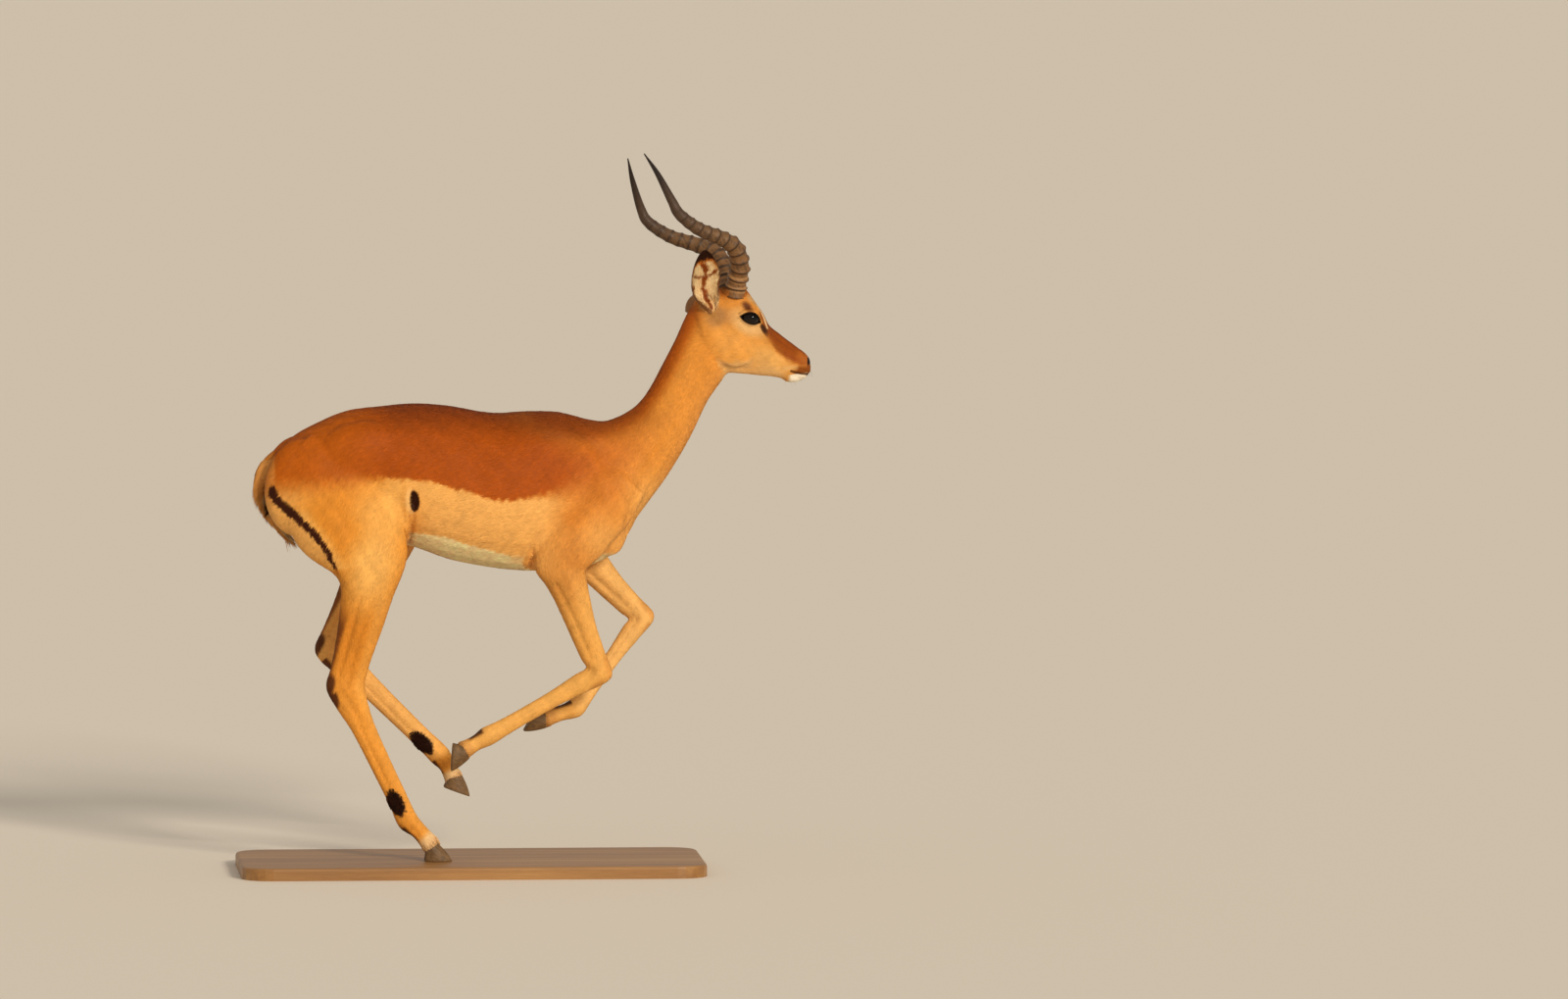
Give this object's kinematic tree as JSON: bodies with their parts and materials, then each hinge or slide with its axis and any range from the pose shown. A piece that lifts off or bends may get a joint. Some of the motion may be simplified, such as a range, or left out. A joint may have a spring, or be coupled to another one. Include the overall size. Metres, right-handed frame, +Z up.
{
  "type": "impala antelope",
  "caption": "Life-size still model of a young adult impala ram in mid-run, with ridged lyre-shaped horns, one hind hoof on a plain display base.",
  "frame": {"origin": "centre of the underside of the display base", "axes": "+X the way the animal faces, +Y its left side, +Z up"},
  "size_m": [1.1155, 0.42, 1.3923],
  "materials": {
    "coat": "short glossy fur, rust back, tan sides, cream belly",
    "eye": "wet, very dark brown",
    "horn": "ridged horn, satin at the tips",
    "hoof": "worn dark horn",
    "base_wood": "oiled oak"
  },
  "bodies": {
    "root": {"head": "coat", "neck": "coat", "chest": "coat", "belly": "coat", "hindquarters": "coat", "leg_hind_right_upper": "coat", "leg_hind_right_lower": "coat", "leg_hind_left_upper": "coat", "leg_hind_left_lower": "coat", "leg_fore_right_upper": "coat", "leg_fore_right_lower": "coat", "leg_fore_left_upper": "coat", "leg_fore_left_lower": "coat", "tail": "coat", "ear_right": "coat", "ear_left": "coat", "eye_right": "eye", "eye_left": "eye", "horn_right": "horn", "horn_left": "horn", "hoof_hind_right_inner": "hoof", "hoof_hind_right_outer": "hoof", "hoof_hind_left_inner": "hoof", "hoof_hind_left_outer": "hoof", "hoof_fore_right_inner": "hoof", "hoof_fore_right_outer": "hoof", "hoof_fore_left_inner": "hoof", "hoof_fore_left_outer": "hoof", "stand_base": "base_wood"}
  },
  "joints": []
}
